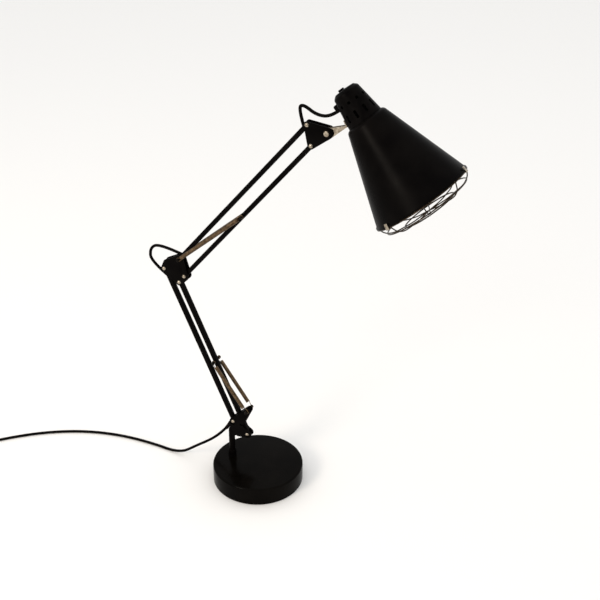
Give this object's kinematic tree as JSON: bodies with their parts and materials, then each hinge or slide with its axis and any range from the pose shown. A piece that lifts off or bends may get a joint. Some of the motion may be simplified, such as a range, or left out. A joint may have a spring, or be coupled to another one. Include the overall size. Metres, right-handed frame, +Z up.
{
  "type": "desk lamp",
  "caption": "Balanced-arm desk lamp with a heavy round base, two sprung parallelogram arms and a conical shade behind a domed wire guard.",
  "frame": {"origin": "centre of the underside of the base", "axes": "+Z up, the arms lie in the XZ plane and the shade is on the +X side, the pivots run along Y"},
  "size_m": [1.0442, 0.4073, 0.8815],
  "materials": {
    "black_lacquer": "semi-gloss black lacquer",
    "satin_black": "satin black powder coat",
    "cast_iron": "raw casting",
    "felt": "soft foam pad",
    "zinc_steel": "zinc plated steel",
    "black_steel": "blackened steel",
    "spring_steel": "bronze toned spring wire",
    "lead_pvc": "flexible black PVC",
    "black_plastic": "moulded black phenolic",
    "brass": "stamped contacts",
    "guard_nickel": "nickel plated wire"
  },
  "bodies": {
    "base": {"base_shell": "black_lacquer", "base_weight": "cast_iron", "base_pad": "felt", "pin_socket": "black_steel"},
    "foot": {"foot_pin": "black_steel", "foot_cheek_near": "satin_black", "foot_cheek_far": "satin_black", "foot_rivets": "black_steel", "foot_bolts": "zinc_steel", "foot_nuts": "zinc_steel", "horn_pins": "zinc_steel", "foot_grommet": "lead_pvc", "mains_lead": "lead_pvc", "lead_coil": "lead_pvc", "plug": "black_plastic"},
    "lower_rear": {"lower_rear_bar": "satin_black", "lower_lead": "lead_pvc"},
    "lower_front": {"lower_front_bar": "satin_black", "lower_spring_pin": "zinc_steel", "lower_spring_near": "spring_steel", "lower_spring_far": "spring_steel"},
    "elbow": {"elbow_cheek_near": "satin_black", "elbow_cheek_far": "satin_black", "elbow_bolts": "zinc_steel", "elbow_nuts": "zinc_steel", "elbow_spring_pin": "zinc_steel", "elbow_lead_low": "lead_pvc", "elbow_lead_high": "lead_pvc"},
    "upper_top": {"upper_top_bar": "satin_black", "upper_lead": "lead_pvc"},
    "upper_low": {"upper_low_bar": "satin_black", "upper_spring_pin": "zinc_steel", "upper_spring_near": "spring_steel", "upper_spring_far": "spring_steel"},
    "head": {"head_cheek_near": "satin_black", "head_cheek_far": "satin_black", "head_bolts": "zinc_steel", "head_nuts": "zinc_steel", "tilt_bolt": "zinc_steel", "tilt_nut": "zinc_steel", "tilt_washers": "black_steel", "head_lead_low": "lead_pvc"},
    "shade": {"shade": "satin_black", "cap": "black_plastic", "shade_bracket": "zinc_steel", "bracket_screws": "zinc_steel", "lampholder": "black_plastic", "holder_contacts": "brass", "holder_ring": "black_plastic", "guard": "guard_nickel", "guard_clips": "zinc_steel", "head_lead_high": "lead_pvc"},
    "button": {"switch_button": "black_plastic"}
  },
  "joints": [
    {"name": "foot_swivel", "type": "hinge", "parent": "base", "child": "foot", "pos_m": [-0.06, 0, 0.04], "axis": [0, 0, 1], "range_deg": [-90, 90]},
    {"name": "lower_arm", "type": "hinge", "parent": "foot", "child": "lower_rear", "pos_m": [-0.05315, 0, 0.13206], "axis": [0, 1, 0], "range_deg": [-12, 45]},
    {"name": "lower_link", "type": "hinge", "parent": "foot", "child": "lower_front", "pos_m": [-0.02097, 0, 0.10743], "axis": [0, 1, 0], "range_deg": [-12, 45], "deforming": ["lower_spring_near", "lower_spring_far"]},
    {"name": "elbow_turn", "type": "hinge", "parent": "lower_rear", "child": "elbow", "pos_m": [-0.19618, 0, 0.46243], "axis": [0, 1, 0], "range_deg": [-45, 12], "deforming": ["elbow_lead_low"]},
    {"name": "upper_arm", "type": "hinge", "parent": "elbow", "child": "upper_top", "pos_m": [-0.16018, 0, 0.49043], "axis": [0, 1, 0], "range_deg": [-33, 70], "deforming": ["elbow_lead_high"]},
    {"name": "upper_link", "type": "hinge", "parent": "elbow", "child": "upper_low", "pos_m": [-0.15208, 0, 0.45343], "axis": [0, 1, 0], "range_deg": [-33, 70], "deforming": ["upper_spring_near", "upper_spring_far"]},
    {"name": "head_turn", "type": "hinge", "parent": "upper_top", "child": "head", "pos_m": [0.10588, 0, 0.80106], "axis": [0, 1, 0], "range_deg": [-70, 33], "deforming": ["head_lead_low"]},
    {"name": "shade_tilt", "type": "hinge", "parent": "head", "child": "shade", "pos_m": [0.14353, 0, 0.79116], "axis": [0, 1, 0], "range_deg": [-60, 35], "deforming": ["head_lead_high"]},
    {"name": "switch_press", "type": "slide", "parent": "shade", "child": "button", "axis": [0.6465, 0, -0.7629], "range_m": [0, 0.0025], "stiffness_N_per_m": 200, "springref_m": -0.005}
  ],
  "couplings": [
    {"joint": "lower_link", "follows": "lower_arm", "ratio": 1},
    {"joint": "elbow_turn", "follows": "lower_arm", "ratio": -1},
    {"joint": "upper_link", "follows": "upper_arm", "ratio": 1},
    {"joint": "head_turn", "follows": "upper_arm", "ratio": -1}
  ]
}
